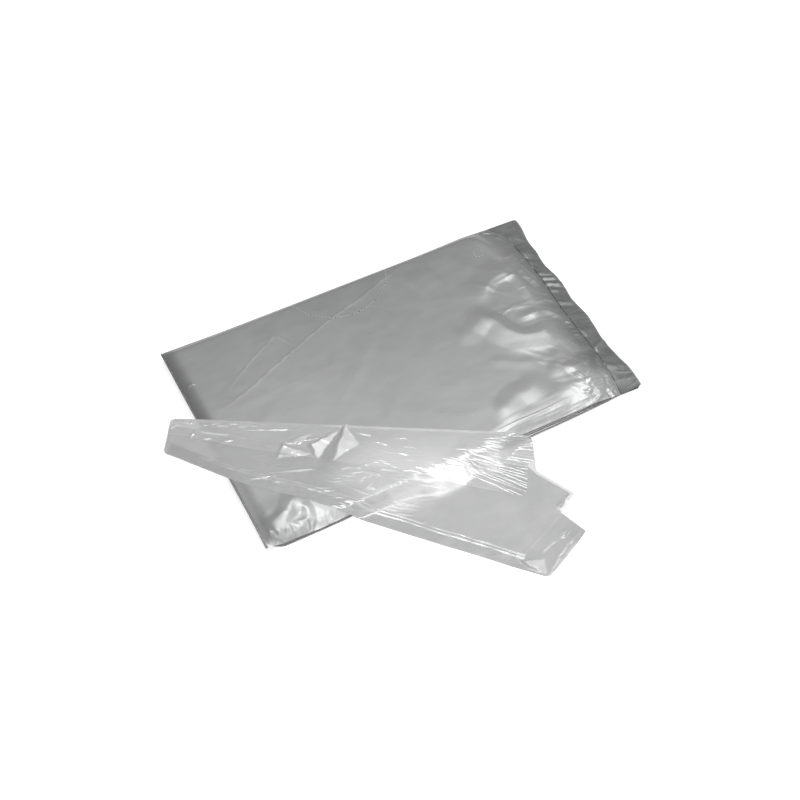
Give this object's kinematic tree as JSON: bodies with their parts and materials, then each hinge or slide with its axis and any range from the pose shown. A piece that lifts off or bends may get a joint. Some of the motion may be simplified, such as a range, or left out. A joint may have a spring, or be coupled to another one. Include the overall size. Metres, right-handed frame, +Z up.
{
  "type": "disposable perm cap",
  "caption": "Flat gusseted film packet full of folded clear film perm caps, with a half-moon tear flap and one fan-folded cap lying loose across its edge.",
  "frame": {"origin": "centre of the packet's flat base, on the surface it lies on", "axes": "+X along the packet to its open lip, +Y to the edge with the tear flap, +Z up"},
  "size_m": [0.3198, 0.2784, 0.0164],
  "materials": {
    "bag_film": "satin silver-grey translucent film",
    "bag_weld": "fused film",
    "cap_film": "glossy clear film"
  },
  "bodies": {
    "packet": {"bag_back_panel": "bag_film", "bag_front_panel": "bag_film", "bag_near_gusset": "bag_film", "bag_far_gusset": "bag_film", "bag_front_lip": "bag_film", "bag_bottom_weld": "bag_weld", "bag_mouth_weld": "bag_weld", "folded_cap_01": "cap_film", "folded_cap_02": "cap_film", "folded_cap_03": "cap_film", "folded_cap_04": "cap_film", "folded_cap_05": "cap_film", "folded_cap_06": "cap_film", "folded_cap_07": "cap_film", "folded_cap_08": "cap_film", "folded_cap_09": "cap_film", "folded_cap_10": "cap_film", "folded_cap_11": "cap_film", "folded_cap_12": "cap_film", "folded_cap_13": "cap_film", "folded_cap_14": "cap_film", "folded_cap_15": "cap_film", "folded_cap_16": "cap_film", "folded_cap_17": "cap_film", "folded_cap_18": "cap_film", "folded_cap_19": "cap_film", "folded_cap_20": "cap_film", "folded_cap_21": "cap_film", "folded_cap_22": "cap_film", "folded_cap_23": "cap_film", "folded_cap_24": "cap_film", "folded_cap_25": "cap_film", "folded_cap_26": "cap_film", "folded_cap_27": "cap_film", "folded_cap_28": "cap_film", "folded_cap_29": "cap_film", "folded_cap_30": "cap_film", "folded_cap_31": "cap_film", "folded_cap_32": "cap_film", "folded_cap_33": "cap_film", "folded_cap_34": "cap_film", "folded_cap_35": "cap_film", "folded_cap_36": "cap_film", "folded_cap_37": "cap_film", "folded_cap_38": "cap_film", "folded_cap_39": "cap_film", "folded_cap_40": "cap_film", "folded_cap_41": "cap_film", "folded_cap_42": "cap_film", "folded_cap_43": "cap_film", "folded_cap_44": "cap_film", "folded_cap_45": "cap_film", "folded_cap_46": "cap_film", "folded_cap_47": "cap_film", "folded_cap_48": "cap_film", "folded_cap_49": "cap_film"},
    "tear_flap": {"tear_flap": "bag_film"},
    "loose_cap": {"cap_lower_ply": "cap_film", "cap_middle_ply": "cap_film"},
    "cap_fold": {"cap_upper_ply": "cap_film"}
  },
  "joints": [
    {"name": "tear_flap_hinge", "type": "hinge", "parent": "packet", "child": "tear_flap", "pos_m": [-0.007, 0.0885, 0.0084], "axis": [-1, 0, 0], "range_deg": [0, 170]},
    {"name": "loose_cap_lift", "type": "slide", "parent": "packet", "child": "loose_cap", "axis": [0, 0, 1], "range_m": [0, 0.15]},
    {"name": "upper_ply_fold", "type": "hinge", "parent": "loose_cap", "child": "cap_fold", "pos_m": [-0.05502, -0.03243, 0.01265], "axis": [-0.8616, 0.5075, 0], "range_deg": [0, 165]}
  ]
}
